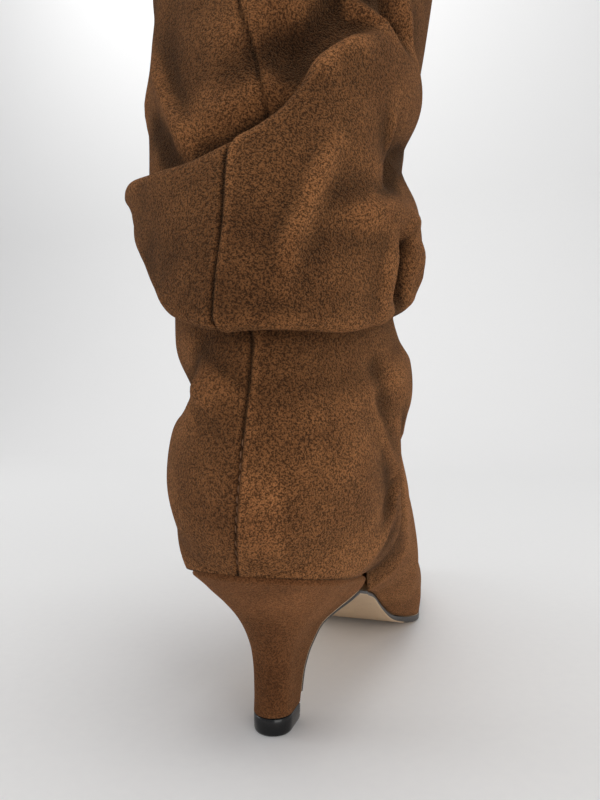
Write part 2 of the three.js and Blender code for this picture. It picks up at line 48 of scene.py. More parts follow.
camera = bpy.data.objects.new("camera", bpy.data.cameras.new("camera"))
camera.data.lens = 28.0
camera.location = (0.0711, -0.1939, 0.1003)
aim = Vector((0.00901, 0.0, 0.10684)) - camera.location
camera.rotation_euler = aim.to_track_quat("-Z", "Y").to_euler()
bpy.context.scene.collection.objects.link(camera)
bpy.context.scene.camera = camera


# The floor: one sheet of matt white card that curves up into the background, with no edge in
# view.


class Link:
    """A node's output that can be added, subtracted and multiplied."""

    def __init__(self, finish, socket):
        self.finish = finish
        self.socket = socket

    def sum_of(self, operation, *values):
        return self.finish.node("ShaderNodeMath", {"operation": operation}, values)

    def __add__(self, other):
        return self.sum_of("ADD", self, other)

    def __radd__(self, other):
        return self.sum_of("ADD", other, self)

    def __sub__(self, other):
        return self.sum_of("SUBTRACT", self, other)

    def __rsub__(self, other):
        return self.sum_of("SUBTRACT", other, self)

    def __mul__(self, other):
        return self.sum_of("MULTIPLY", self, other)

    def __rmul__(self, other):
        return self.sum_of("MULTIPLY", other, self)


class Finish:
    """A material whose nodes are added one at a time."""

    def __init__(self, name):
        self.material = bpy.data.materials.new(name)
        self.material.use_nodes = True
        self.tree = self.material.node_tree
        self.shader = self.tree.nodes["Principled BSDF"]
        self.place = self.node("ShaderNodeTexCoord", output="Object")

    def node(self, kind, settings=None, sockets=(), output=0):
        node = self.tree.nodes.new(kind)
        for name, value in (settings or {}).items():
            if name == "stops":
                self.set_stops(node.color_ramp, value)
            else:
                setattr(node, name, value)
        self.feed(node, sockets)
        return Link(self, node.outputs[output])

    def set_stops(self, ramp, stops):
        while len(ramp.elements) < len(stops):
            ramp.elements.new(1.0)
        for element, (position, colour) in zip(ramp.elements, stops):
            element.position = position
            element.color = colour

    def feed(self, node, sockets):
        pairs = sockets.items() if isinstance(sockets, dict) else enumerate(sockets)
        for key, value in pairs:
            if isinstance(value, Link):
                self.tree.links.new(value.socket, node.inputs[key])
            else:
                node.inputs[key].default_value = value

    def surface(self, **sockets):
        self.feed(self.shader, {name.replace("_", " "): value for name, value in sockets.items()})

    def noise(self, size, detail=2.0, roughness=0.5):
        """Noise from 0 to 1 whose lumps are `size` metres across."""
        sockets = {
            "Vector": self.place,
            "Scale": 1 / size,
            "Detail": detail,
            "Roughness": roughness,
        }
        return self.node("ShaderNodeTexNoise", {}, sockets)

    def ramp(self, value, low, high, to_low=0.0, to_high=1.0):
        """A value between two limits moved smoothly between two others."""
        sockets = (value, low, high, to_low, to_high)
        return self.node("ShaderNodeMapRange", {"interpolation_type": "SMOOTHSTEP"}, sockets)

    def mix(self, share, first, second, blend="MIX"):
        """Two colours mixed by a share of the second."""
        settings = {"data_type": "RGBA", "blend_type": blend}
        return self.node("ShaderNodeMix", settings, {0: share, 6: first, 7: second}, output=2)

    def bump(self, height, depth):
        """A normal that follows a height from 0 to 1 whose full depth is in metres."""
        sockets = {"Height": height, "Distance": depth, "Strength": 1.0}
        return self.node("ShaderNodeBump", {}, sockets)


def srgb(red, green, blue):
    """A colour given in the screen's numbers from 0 to 255, as the shader's own."""
    shares = [value / 255 for value in (red, green, blue)]
    linear = [s / 12.92 if s <= 0.04045 else ((s + 0.055) / 1.055) ** 2.4 for s in shares]
    return (*linear, 1.0)


def new_piece(name, points, faces, *finishes, slots=None):
    """A smooth mesh whose faces take one of its finishes each, the first if slots isn't given."""
    mesh = bpy.data.meshes.new(name)
    mesh.from_pydata([tuple(point) for point in points], [], [tuple(face) for face in faces])
    mesh.shade_smooth()
    for finish in finishes:
        mesh.materials.append(finish.material)
    if slots is not None:
        mesh.polygons.foreach_set("material_index", slots)
    piece = bpy.data.objects.new(name, mesh)
    bpy.context.scene.collection.objects.link(piece)
    return piece


card = Finish("white_card")
card_fibre = card.noise(0.004, detail=3.0)
card.surface(
    Base_Color=card.mix(card_fibre, srgb(233, 233, 233), srgb(237, 237, 236)),
    Roughness=0.9,
    Specular_IOR_Level=0.2,
)

SWEEP_HALF_WIDTH = 2.4
SWEEP_FRONT = -1.6
SWEEP_BACK = 1.1
SWEEP_RADIUS = 0.9
SWEEP_TOP = 2.6
sweep_bends = np.linspace(0, math.pi / 2, 25)
sweep_line = [(SWEEP_FRONT, 0.0)]
sweep_line += [
    (SWEEP_BACK + SWEEP_RADIUS * math.sin(t), SWEEP_RADIUS * (1 - math.cos(t))) for t in sweep_bends
]
sweep_line += [(SWEEP_BACK + SWEEP_RADIUS, SWEEP_TOP)]
sweep_points = [(side * SWEEP_HALF_WIDTH, y, z) for y, z in sweep_line for side in (-1, 1)]
sweep_faces = [(2 * i, 2 * i + 1, 2 * i + 3, 2 * i + 2) for i in range(len(sweep_line) - 1)]
sweep = new_piece("sweep", sweep_points, sweep_faces, card)


# The light: a bright room with a wide soft lamp overhead, a low one behind the camera to the
# right, a weak one from the left and one that lights the top of the background.


def add_lamp(name, place, target, width, power, colour):
    """A square soft lamp that points at a target."""
    lamp = bpy.data.objects.new(name, bpy.data.lights.new(name, "AREA"))
    lamp.data.size = width
    lamp.data.energy = power
    lamp.data.color = colour
    lamp.location = place
    turned = (Vector(target) - Vector(place)).to_track_quat("-Z", "Y")
    lamp.rotation_euler = turned.to_euler()
    bpy.context.scene.collection.objects.link(lamp)
    return lamp


BOOT_MIDDLE = (0.0, 0.02, 0.15)
add_lamp("overhead_lamp", (0.3, -0.2, 1.9), BOOT_MIDDLE, 1.0, 10.0, (1.0, 0.985, 0.96))
add_lamp("low_lamp", (0.9, -0.9, 0.25), BOOT_MIDDLE, 0.9, 7.5, (1.0, 0.99, 0.97))
add_lamp("left_lamp", (-1.3, -0.2, 0.4), BOOT_MIDDLE, 0.7, 3.5, (0.97, 0.985, 1.0))
add_lamp("background_lamp", (-0.85, 0.9, 2.6), (-0.85, 2.0, 2.1), 1.5, 26.0, (1.0, 1.0, 1.0))

room = bpy.data.worlds.new("room")
room.use_nodes = True
room.node_tree.nodes["Background"].inputs["Color"].default_value = srgb(240, 240, 242)
room.node_tree.nodes["Background"].inputs["Strength"].default_value = 0.56
bpy.context.scene.world = room
bpy.context.scene.view_settings.view_transform = "Standard"


# The insole: a board cut to the last's bottom with a thin leather sock glued over it. It lies in
# the boot from the heel seat to the toe and is seen only down the shaft.

sock_leather = Finish("sock_leather")
sock_pores = sock_leather.noise(0.0006, detail=3.0)
sock_patches = sock_leather.noise(0.03, detail=2.0)
sock_leather.surface(
    Base_Color=sock_leather.mix(
        sock_leather.ramp(sock_patches, 0.3, 0.7),
        srgb(186, 150, 112),
        srgb(198, 163, 124),
    ),
    Roughness=0.55,
    Normal=sock_leather.bump(sock_pores, 0.0001),
)
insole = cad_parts["insole"]
insole.data.materials.clear()
insole.data.materials.append(sock_leather.material)


# The upper: suede cut in two quarters, drawn over the last with its edge turned under, and sewn up
# the back. The foot is smooth and the ankle firm over its counter. The shaft above is wide and
# slack, so it settles in two folds: one all round over the ankle, and one across the back.

# The sizes that it shares with the solids, in metres
LAST_LENGTH = 0.252
BALL_WIDTH = 0.071
WAIST_WIDTH = 0.042
SEAT_WIDTH = 0.0544
TOE_WIDTH = 0.011
TOE_ROUND = 0.0077
NOSE_ROUND = 0.010
HEEL_HEIGHT = 0.056
HEEL_SETBACK = 0.0296
HEEL_SEAT_LENGTH = 0.0594
RIM_WIDTH = 0.003
INSTEP_HEIGHT = 0.062
BOOT_HEIGHT = 0.3
SHAFT_WIDTH = 0.1
SHAFT_DEPTH = 0.104
WALL = 0.0017
SOLE_THICKNESS = 0.003
GAP = 0.0003
SEAT_BACK = -HEEL_SETBACK
BREAST_AT = HEEL_SEAT_LENGTH / LAST_LENGTH
FRONT_OF_RIM = (HEEL_SEAT_LENGTH + RIM_WIDTH) / LAST_LENGTH
TREAD_FROM = 0.63
TREAD_TO = 0.69


def lerp(first, second, share):
    return first + (second - first) * share


def smooth(share):
    share = np.clip(share, 0, 1)
    return share**2 * (3 - 2 * share)


def curves(names, rows):
    """Smooth curves through a table's columns, along its first one, that never pass its rows."""
    places, *columns = np.array(rows, float).T
    spans = np.diff(places)

    def through(values):
        rise = np.diff(values) / spans
        pairs = list(zip(rise, rise[1:]))
        inner = [2 * a * b / (a + b) if a * b > 0 else 0.0 for a, b in pairs]
        slope = np.array([rise[0], *inner, rise[-1]])

        def curve(at):
            here = np.clip(at, places[0], places[-1])
            i = np.clip(np.searchsorted(places, here) - 1, 0, len(spans) - 1)
            t = (here - places[i]) / spans[i]
            lower = values[i] * (1 + 2 * t) * (1 - t) ** 2 + slope[i] * spans[i] * t * (1 - t) ** 2
            upper = values[i + 1] * t * t * (3 - 2 * t) + slope[i + 1] * spans[i] * t * t * (t - 1)
            return lower + upper

        return curve

    return SimpleNamespace(**{n: through(v) for n, v in zip(names.split()[1:], columns)})


def rounded_end(distance, length):
    """0 at an end that is rounded off, rising like a quarter circle to 1 at a length from it."""
    return np.sqrt(np.clip(1 - (1 - np.clip(distance / length, 0, 1)) ** 2, 0, None))


# The last's bottom, by shares of its length from the heel. A half width is in metres, a swing in
# ball widths, a lift from the tread to the heel seat, and a thickness in sole thicknesses.
sole_line = curves(
    "at half swing lift thick",
    [
        (0, SEAT_WIDTH * 0.5, 0, 1, 0.5),
        (0.12, SEAT_WIDTH * 0.5, 0, 0.892, 0.5),
        (BREAST_AT, SEAT_WIDTH * 0.46, 0, 0.787, 0.5),
        (FRONT_OF_RIM, SEAT_WIDTH * 0.45, 0, 0.66, 0.5),
        (0.28, WAIST_WIDTH * 0.555, 0, 0.61, 0.55),
        (0.34, WAIST_WIDTH * 0.52, 0.004, 0.52, 0.62),
        (0.42, WAIST_WIDTH * 0.5, 0.01, 0.33, 0.7),
        (0.5, BALL_WIDTH * 0.322, 0.01, 0.135, 0.85),
        (0.56, BALL_WIDTH * 0.395, 0.002, 0.045, 1),
        (0.61, BALL_WIDTH * 0.459, -0.02, 0.004, 1),
        (TREAD_FROM, BALL_WIDTH * 0.472, -0.035, 0, 1),
        (TREAD_TO, BALL_WIDTH * 0.482, -0.07, 0, 1),
        (0.77, BALL_WIDTH * 0.44, -0.092, 0.014, 1),
        (0.85, BALL_WIDTH * 0.345, -0.092, 0.05, 1),
        (0.93, BALL_WIDTH * 0.21, -0.075, 0.097, 0.95),
        (1, TOE_WIDTH * 0.5, -0.05, 0.15, 0.9),
    ],
)


def along(at):
    return SEAT_BACK + LAST_LENGTH * at


def last_bottom(at):
    return lerp(SOLE_THICKNESS + GAP, HEEL_HEIGHT, sole_line.lift(at))


def half_width(at, inset=0.0):
    from_heel = LAST_LENGTH * at - inset
    from_toe = LAST_LENGTH * (1 - at) - inset
    ends = rounded_end(from_heel, SEAT_WIDTH / 2 - inset) * rounded_end(from_toe, TOE_ROUND - inset)
    return np.maximum(0, sole_line.half(at) - inset) * ends


# The top of the foot, whose rise is in instep heights and whose swing is in ball widths
vamp_line = curves(
    "at rise swing",
    [
        (0.443, 1.66, 0),
        (0.467, 1.42, -0.005),
        (0.506, 1.19, -0.012),
        (0.562, 1, -0.03),
        (0.633, 0.8, -0.055),
        (0.733, 0.62, -0.08),
        (0.832, 0.45, -0.085),
        (0.911, 0.32, -0.075),
        (1, 0.17, -0.05),
    ],
)


def nose_end(at):
    return rounded_end(LAST_LENGTH * (1 - at), NOSE_ROUND)


def vamp_height(at):
    return last_bottom(at) + INSTEP_HEIGHT * vamp_line.rise(at) * nose_end(at)


# The foot's sections, by shares of the last's length. Each leans from a place on the sole to one
# on the vamp, and its outer and inner halves are in ball widths.
foot = curves(
    "sole vamp outer inner widest peak",
    [
        (0, 0.443, 0.55, 0.53, 0.43, 0.82),
        (0.04, 0.448, 0.53, 0.53, 0.37, 0.82),
        (0.1, 0.456, 0.53, 0.53, 0.31, 0.8),
        (0.2, 0.47, 0.53, 0.5, 0.29, 0.8),
        (0.3, 0.488, 0.53, 0.47, 0.28, 0.82),
        (0.4, 0.513, 0.52, 0.45, 0.28, 0.88),
        (0.5, 0.553, 0.485, 0.445, 0.26, 0.95),
        (0.6, 0.612, 0.488, 0.49, 0.26, 0.98),
        (0.7, 0.706, 0.5, 0.51, 0.28, 0.98),
        (0.82, 0.824, 0.41, 0.41, 0.3, 0.96),
        (0.93, 0.932, 0.225, 0.225, 0.3, 0.92),
        (1, 1, 0.088, 0.088, 0.3, 0.9),
    ],
)

# The shaft's rings, by levels from the seat to the collar, in shaft depths, widths and heights
FOLD_AT = (0.5, 0.8)
FOLD_HALF = 0.03
ANKLE_LEVEL = 0.3
seat_ring = (
    0,
    SEAT_BACK / SHAFT_DEPTH,
    HEEL_HEIGHT / BOOT_HEIGHT,
    along(foot.vamp(0)) / SHAFT_DEPTH,
    vamp_height(foot.vamp(0)) / BOOT_HEIGHT,
    foot.outer(0) * BALL_WIDTH / SHAFT_WIDTH,
    foot.inner(0) * BALL_WIDTH / SHAFT_WIDTH,
    foot.peak(0),
)
shaft = curves(
    "level rear low fore high outer inner peak",
    [
        seat_ring,
        (0.1, -0.335, 0.228, 0.785, 0.415, 0.405, 0.4, 0.8),
        (0.2, -0.35, 0.27, 0.78, 0.424, 0.42, 0.385, 0.78),
        (0.3, -0.34, 0.318, 0.775, 0.434, 0.41, 0.37, 0.78),
        (0.4, -0.315, 0.365, 0.765, 0.445, 0.365, 0.39, 0.86),
        (0.5, -0.3, 0.415, 0.75, 0.46, 0.345, 0.4, 1),
        (0.6, -0.31, 0.475, 0.7, 0.51, 0.37, 0.395, 1),
        (0.7, -0.31, 0.54, 0.68, 0.57, 0.385, 0.415, 1),
        (0.8, -0.305, 0.6, 0.67, 0.63, 0.385, 0.425, 1),
        (0.87, -0.3, 0.72, 0.67, 0.74, 0.43, 0.428, 1),
        (0.93, -0.305, 0.85, 0.68, 0.86, 0.47, 0.42, 1),
        (1, -0.31, 1, 0.69, 1, 0.49, 0.45, 1),
    ],
)

# The two folds, by direction round the shaft in degrees: 0 is the back, 90 the outer side. A
# fold's height is a share of the boot's, its depth one of the shaft's width, and its turn how far
# the leather turns over in degrees.
folds = [
    curves(
        "toward height depth turn",
        [
            (-180, 0.475, 0.08, 60),
            (-120, 0.5, 0.12, 55),
            (-80, 0.512, 0.14, 56),
            (-58, 0.514, 0.14, 56),
            (-42, 0.498, 0.135, 58),
            (-28, 0.46, 0.115, 75),
            (-16, 0.434, 0.115, 115),
            (0, 0.42, 0.118, 125),
            (28, 0.42, 0.118, 125),
            (50, 0.434, 0.115, 118),
            (70, 0.452, 0.105, 95),
            (110, 0.475, 0.08, 80),
            (180, 0.475, 0.08, 60),
        ],
    ),
    curves(
        "toward height depth turn",
        [
            (-180, 0.665, 0.05, 45),
            (-120, 0.63, 0.05, 50),
            (-80, 0.602, 0.055, 70),
            (-55, 0.592, 0.08, 95),
            (-31, 0.58, 0.1, 110),
            (-12, 0.573, 0.105, 110),
            (3, 0.585, 0.105, 110),
            (14, 0.611, 0.1, 98),
            (20, 0.636, 0.092, 84),
            (27, 0.672, 0.08, 64),
            (38, 0.702, 0.066, 50),
            (50, 0.718, 0.05, 40),
            (70, 0.725, 0.035, 30),
            (110, 0.71, 0.03, 30),
            (180, 0.665, 0.05, 45),
        ],
    ),
]

# Creases that the solids have too. Each runs from one direction and height to another, then has
# its depth and width as shares of the shaft's width.
main_creases = [
    ((120, 0.655), (62, 0.605), -0.08, 0.12),
    ((64, 0.515), (62, 0.475), -0.1, 0.055),
    ((-85, 0.345), (-28, 0.372), -0.05, 0.085),
    ((70, 0.24), (58, 0.34), -0.03, 0.12),
]
ARC = math.radians(1) * SHAFT_WIDTH / 2
FOLD_STEPS = 24
TINY = 1e-9


def section(low, high, half, outer, inner, widest, peak, middle, lean, side):
    """Points of a section from its feather line to its top, side running from -1 to 1."""
    full = np.maximum(np.where(side > 0, outer, inner), half)
    below = np.arccos(np.clip(half / np.maximum(full, TINY), 0, 1))
    turn = lerp(math.pi / 2, -below, abs(side))
    above = turn > 0
    reach = full * np.clip(np.cos(turn), 0, None) ** np.where(above, peak, 1)
    drop = widest / np.maximum(np.sin(below), TINY) * (below > TINY)
    up = np.where(above, lerp(widest, 1, np.sin(turn)), widest + drop * np.sin(turn))
    x = lerp(middle, lean, up) + np.sign(side) * reach
    return np.stack([x, lerp(low[0], high[0], up), lerp(low[1], high[1], up)], -1)


def ring_middle(level):
    return SHAFT_DEPTH * (shaft.rear(level) + shaft.fore(level)) / 2


def outward_and_toward(points, level):
    """The way out from the shaft's middle at each point, and its direction in degrees."""
    flat = points[..., :2] - np.stack([0 * level, ring_middle(level)], -1)
    flat = flat / np.maximum(np.linalg.norm(flat, axis=-1, keepdims=True), TINY)
    outward = np.concatenate([flat, np.zeros_like(flat[..., :1])], -1)
    return outward, np.degrees(np.arctan2(flat[..., 0], -flat[..., 1]))


def main_crease_depth(toward, height):
    """How far the main creases move the leather out."""
    total = np.zeros_like(height)
    for start, end, depth, width in main_creases:
        first = np.array([start[0] * ARC, start[1] * BOOT_HEIGHT])
        run = np.array([end[0] * ARC, end[1] * BOOT_HEIGHT]) - first
        away = np.stack([toward * ARC, height], -1) - first
        share = np.clip(away @ run / (run @ run), 0, 1)
        distance = np.linalg.norm(away - share[..., None] * run, axis=-1)
        total += depth * SHAFT_WIDTH * np.exp(-((distance / (width * SHAFT_WIDTH)) ** 2))
    return total


def along_fold(turn, start, end, part):
    """The leather's way between two places in a fold: sideways for sin as the part, up for cos."""
    total = 0
    for step in range(FOLD_STEPS):
        here = lerp(start, end, (step + 0.5) / FOLD_STEPS)
        total = total + part(turn * np.cos(math.pi / 2 * here) ** 2)
    return total * (end - start) / FOLD_STEPS


def foot_points(at, side):
    vamp = foot.vamp(at)
    points = section(
        (along(at), last_bottom(at)),
        (along(vamp), vamp_height(vamp)),
        half_width(at),
        foot.outer(at) * BALL_WIDTH * nose_end(at),
        foot.inner(at) * BALL_WIDTH * nose_end(at),
        foot.widest(at),
        foot.peak(at),
        sole_line.swing(at) * BALL_WIDTH,
        vamp_line.swing(vamp) * BALL_WIDTH,
        side,
    )
    outward, toward = outward_and_toward(points, 0 * at)
    out = main_crease_depth(toward, points[..., 2]) * (abs(side) < 1)
    return points + outward * out[..., None]


def shaft_ring(level, side):
    widest = lerp(foot.widest(0), 0.5, smooth(level / ANKLE_LEVEL))
    return section(
        (shaft.rear(level) * SHAFT_DEPTH, shaft.low(level) * BOOT_HEIGHT),
        (shaft.fore(level) * SHAFT_DEPTH, shaft.high(level) * BOOT_HEIGHT),
        0.0,
        shaft.outer(level) * SHAFT_WIDTH,
        shaft.inner(level) * SHAFT_WIDTH,
        widest,
        shaft.peak(level),
        0.0,
        0.0,
        side,
    )


def shaft_points(level, side):
    """The shaft's leather with its folds and main creases, and each point's direction."""
    points = shaft_ring(level, side)
    outward, toward = outward_and_toward(points, level)
    knots = [(0 * level, 0 * level)]
    ways = []
    for fold, start in zip(folds, FOLD_AT):
        height = fold.height(toward) * BOOT_HEIGHT
        depth = fold.depth(toward) * SHAFT_WIDTH
        turn = np.radians(fold.turn(toward))
        at = np.clip((level - start) / FOLD_HALF, -1, 1)
        whole = along_fold(turn, -1, 1, np.sin)
        out = depth * along_fold(turn, -1, at, np.sin) / whole
        up = depth * along_fold(turn, 0 * at, at, np.cos) / whole
        reach = depth * along_fold(turn, 0, 1, np.cos) / whole
        ways.append((at, out, height + up))
        for end in (-1, 1):
            knot = start + end * FOLD_HALF + 0 * level
            plain = shaft_ring(knot, side)[..., 2]
            knots.append((knot, height + end * reach - plain))
    knots.append((1 + 0 * level, 0 * level))
    shift = knots[0][1]
    for (before, first), (after, second) in zip(knots, knots[1:]):
        share = np.clip((level - before) / (after - before), 0, 1)
        shift = np.where(level >= before, lerp(first, second, share), shift)
    height = points[..., 2] + shift
    out = main_crease_depth(toward, height)
    for sign, (at, fold_out, fold_height) in zip((1, -1), ways):
        height = np.where(abs(at) < 1, fold_height, height)
        out += sign * fold_out
    points[..., 2] = height
    return points + outward * out[..., None], toward


def eased(count):
    return np.linspace(0, 1, count + 1)


SIDE_COLUMNS = 116
SEAM_CROWDING = 1.5
side = 2 * eased(2 * SIDE_COLUMNS) - 1
side = (np.sign(side) * (1 - (1 - abs(side)) ** SEAM_CROWDING))[None, :]
stations = np.concatenate(
    [
        lerp(1, TREAD_TO, 1 - np.cos(math.pi / 2 * eased(40))),
        lerp(TREAD_FROM, FRONT_OF_RIM, eased(44)),
        BREAST_AT * (1 - np.sin(math.pi / 2 * eased(30))),
    ]
)[:, None]
zone_ends = [
    0,
    FOLD_AT[0] - FOLD_HALF,
    FOLD_AT[0] + FOLD_HALF,
    FOLD_AT[1] - FOLD_HALF,
    FOLD_AT[1] + FOLD_HALF,
    1,
]
zone_rows = [44, 40, 40, 40, 34]
levels = np.concatenate(
    [
        lerp(start, end, eased(count)[1:])
        for start, end, count in zip(zone_ends, zone_ends[1:], zone_rows)
    ]
)[:, None]

foot_sheet = foot_points(stations + 0 * side, side + 0 * stations)
foot_toward = outward_and_toward(foot_sheet, 0 * stations + 0 * side)[1]
shaft_sheet, shaft_toward = shaft_points(levels + 0 * side, side + 0 * levels)
outer_sheet = np.concatenate([foot_sheet, shaft_sheet])
toward_map = np.concatenate([foot_toward, shaft_toward])
level_map = np.concatenate([0 * stations + 0 * side, levels + 0 * side])


def sheet_normals(sheet):
    """Outward normals of a sheet of points in rows."""
    across = np.gradient(sheet, axis=1)
    rings = np.linalg.norm(sheet[:, 0] - sheet[:, -1], axis=-1) < 1e-6
    across[rings, 0] = across[rings, -1] = sheet[rings, 1] - sheet[rings, -2]
    normals = np.cross(np.gradient(sheet, axis=0), across)
    lengths = np.linalg.norm(normals, axis=-1, keepdims=True)
    return normals / np.maximum(lengths, 1e-15)


def sheet_faces(sheet, closed=False):
    """A sheet's points and faces, with points that lie together made one."""
    rows, columns = sheet.shape[:2]
    flat = np.round(sheet.reshape(-1, 3) / 1e-7).astype(np.int64)
    _, first, index = np.unique(flat, axis=0, return_index=True, return_inverse=True)
    index = index.reshape(rows, columns)
    following = np.roll(index, -1, 1) if closed else index[:, 1:]
    here = index if closed else index[:, :-1]
    quads = np.stack([here[:-1], here[1:], following[1:], following[:-1]], -1).reshape(-1, 4)
    faces = []
    for quad in quads:
        face = list(dict.fromkeys(quad.tolist()))
        if len(face) > 2:
            faces.append(face)
    return sheet.reshape(-1, 3)[first], faces, first


# The softer folds, ridges (depth above 0) and troughs, drawn on the leather. Depth and width are
# in millimetres, and a line's points are directions in degrees and heights in millimetres. The
# lower fold parts "ankle" from "band", and the upper fold parts that from "top".
MILLIMETRE = 0.001
soft_lines = [
    ("top", -6.5, 9.0, [(2, 200), (14, 205), (26, 211), (38, 226), (40, 244)]),
    ("top", -6.0, 6.0, [(-24, 178), (-8, 180), (6, 184), (15, 191), (20, 200)]),
    ("top", 4.2, 3.0, [(31, 240), (41, 223), (51, 217), (56, 211), (60, 206), (66, 196)]),
    ("top", -3.2, 2.6, [(48, 236), (56, 222), (63, 215), (70, 209), (74, 200)]),
    ("top", 2.6, 3.2, [(58, 236), (66, 224), (74, 214), (80, 204)]),
    ("top", 3.2, 3.4, [(-46, 222), (-36, 206), (-26, 190), (-18, 178)]),
    ("top", -2.4, 4.0, [(-52, 204), (-38, 190), (-30, 180)]),
    ("top", 2.0, 9.0, [(-70, 214), (-60, 208)]),
    ("top", -2.5, 7.0, [(-100, 230), (-55, 238)]),
    ("band", 2.0, 6.0, [(20, 190), (28, 202), (44, 212)]),
    ("band", -3.4, 3.2, [(92, 192), (74, 187), (60, 176), (48, 167)]),
    ("band", 2.2, 2.0, [(56, 194), (55, 182)]),
    ("band", 2.6, 3.0, [(30, 177), (24, 164), (18, 148), (15, 136)]),
    ("band", -0.8, 5.0, [(44, 176), (34, 160), (27, 146)]),
    ("band", 3.0, 4.4, [(30, 155), (45, 160), (62, 163), (76, 164)]),
    ("band", 2.6, 3.0, [(78, 166), (66, 161), (57, 153), (51, 143), (49, 131)]),
    ("band", -5.0, 3.4, [(67, 157), (62, 151), (60, 144)]),
    ("band", 2.6, 6.0, [(90, 160), (83, 152), (78, 144)]),
    ("band", -2.0, 5.0, [(110, 144), (96, 138), (84, 135)]),
    ("band", 3.4, 9.0, [(-66, 156), (-58, 144)]),
    ("band", -1.2, 9.0, [(-34, 158), (-14, 140)]),
    ("ankle", -3.0, 3.6, [(-66, 104), (-32, 107), (-23, 111), (-12, 123)]),
    ("ankle", 2.6, 8.0, [(-14, 104), (-4, 116)]),
    ("ankle", 1.8, 3.2, [(50, 108), (54, 100), (63, 90), (84, 80), (78, 68), (56, 60), (45, 54)]),
    ("ankle", -3.0, 6.0, [(74, 106), (98, 92), (110, 78), (108, 64), (98, 52)]),
    ("ankle", -1.4, 7.0, [(52, 122), (62, 112), (60, 100)]),
]
zone_of = {
    "ankle": 1 - smooth((level_map - FOLD_AT[0]) / (2 * FOLD_HALF) + 0.5),
    "top": smooth((level_map - FOLD_AT[1]) / (2 * FOLD_HALF) + 0.5),
}
zone_of["band"] = 1 - zone_of["ankle"] - zone_of["top"]
END_FADE = 0.3
END_SHARE = 0.3


def line_relief(points, width):
    """1 on a line over the leather, falling to 0 away from it and towards its ends."""
    arc = math.radians(1) * SHAFT_WIDTH / 2
    here = np.stack([toward_map * arc, outer_sheet[..., 2]], -1)
    line = np.array([(toward * arc, height * MILLIMETRE) for toward, height in points])
    lengths = np.linalg.norm(np.diff(line, axis=0), axis=-1)
    starts = np.concatenate([[0], np.cumsum(lengths)])
    nearest = np.full(here.shape[:2], np.inf)
    place = np.zeros(here.shape[:2])
    for first, second, length, start in zip(line, line[1:], lengths, starts):
        run = (second - first) / length
        share = np.clip((here - first) @ run, 0, length)
        distance = np.linalg.norm(here - first - share[..., None] * run, axis=-1)
        place = np.where(distance < nearest, start + share, place)
        nearest = np.minimum(distance, nearest)
    end = np.minimum(place, starts[-1] - place) / starts[-1]
    fade = lerp(END_SHARE, 1, smooth(end / END_FADE))
    return np.exp(-((nearest / (width * MILLIMETRE)) ** 2)) * fade


relief = sum(
    depth * MILLIMETRE * zone_of[zone] * line_relief(points, width)
    for zone, depth, width, points in soft_lines
)

# The back seam: a groove, with the outer quarter standing a little proud of the inner one. It
# twists with the folds. Rows are heights in millimetres and directions in degrees.
SEAM_DEPTH = 0.0006
SEAM_HALF = 0.0006
SEAM_STEP = 0.0009
SEAM_STEP_WIDTH = 0.006
FEATHER_FADE = 0.08
seam_lines = {
    "ankle": curves("height toward", [(56, 0), (84, 3), (100, 4), (122, 5), (140, 3)]),
    "band": curves("height toward", [(115, -3), (138, -1), (154, 1), (172, 2), (182, 4)]),
    "top": curves("height toward", [(170, 14), (181, 12), (200, 7), (212, 4), (222, 1), (300, 0)]),
}
seam_toward = sum(
    zone_of[zone] * line.toward(outer_sheet[..., 2] / MILLIMETRE)
    for zone, line in seam_lines.items()
)
seam_distance = (toward_map - seam_toward) * math.radians(1) * SHAFT_WIDTH / 2
on_seam = (level_map > 0) * np.exp(-((seam_distance / SEAM_HALF) ** 2))
beside_seam = smooth(seam_distance / SEAM_HALF) * np.exp(-seam_distance / SEAM_STEP_WIDTH)
relief = relief + (level_map > 0) * SEAM_STEP * beside_seam - SEAM_DEPTH * on_seam
relief[level_map[:, 0] == 0, :] *= smooth((1 - abs(side)) / FEATHER_FADE)
outer_sheet = outer_sheet + sheet_normals(outer_sheet) * relief[..., None]


def spread_out(sheet, rows, columns):
    """A sheet averaged over some rows and columns to each side."""
    for axis, reach in ((0, rows), (1, columns)):
        width = [(reach, reach) if i == axis else (0, 0) for i in range(sheet.ndim)]
        mode = "wrap" if axis == 1 else "edge"
        sums = np.cumsum(np.pad(sheet, width, mode=mode), axis=axis)
        count = sheet.shape[axis]
        upper = np.take(sums, range(2 * reach, 2 * reach + count), axis=axis)
        lower = np.take(sums, range(0, count), axis=axis)
        sheet = (upper - lower) / (2 * reach)
    return sheet


def standing_out(reach, full):
    """How far the leather stands out of its surroundings: 1 on a ridge, -1 in a hollow."""
    away = outer_sheet - spread_out(outer_sheet, reach, reach)
    return np.clip(np.sum(away * sheet_normals(outer_sheet), -1) / full, -1, 1)


# How pale the suede is painted. Ridges are painted pale, as wear and as painted highlight, and
# hollows dark as painted shade. The counter was brushed up beside the seam, where the nap lies the
# other way, and the foot is painted paler all over, with the ankle a little, as painted light.
FINE_REACH = 5
FINE_HEIGHT = 0.0006
WIDE_REACH = 14
WIDE_HEIGHT = 0.004
ROUNDNESS = 0.35
BRUSHED_TOWARD = 9.0
BRUSHED_HALF = 5.5
BRUSHED_LOW = 0.058
BRUSHED_HIGH = 0.088
BRUSHED_EDGE = 0.008
VAMP_FROM = 0.02
VAMP_OVER = 0.03
EDGE_SHADE = 0.0009
HOLE_HALF = 4
TONE_AND_SHADE_LIMIT = 1.5
brushed = np.exp(-(((toward_map - BRUSHED_TOWARD) / BRUSHED_HALF) ** 4)) * (level_map > 0)
brushed = brushed * smooth((outer_sheet[..., 2] - BRUSHED_LOW) / BRUSHED_EDGE)
brushed = brushed * smooth((BRUSHED_HIGH - outer_sheet[..., 2]) / BRUSHED_EDGE)
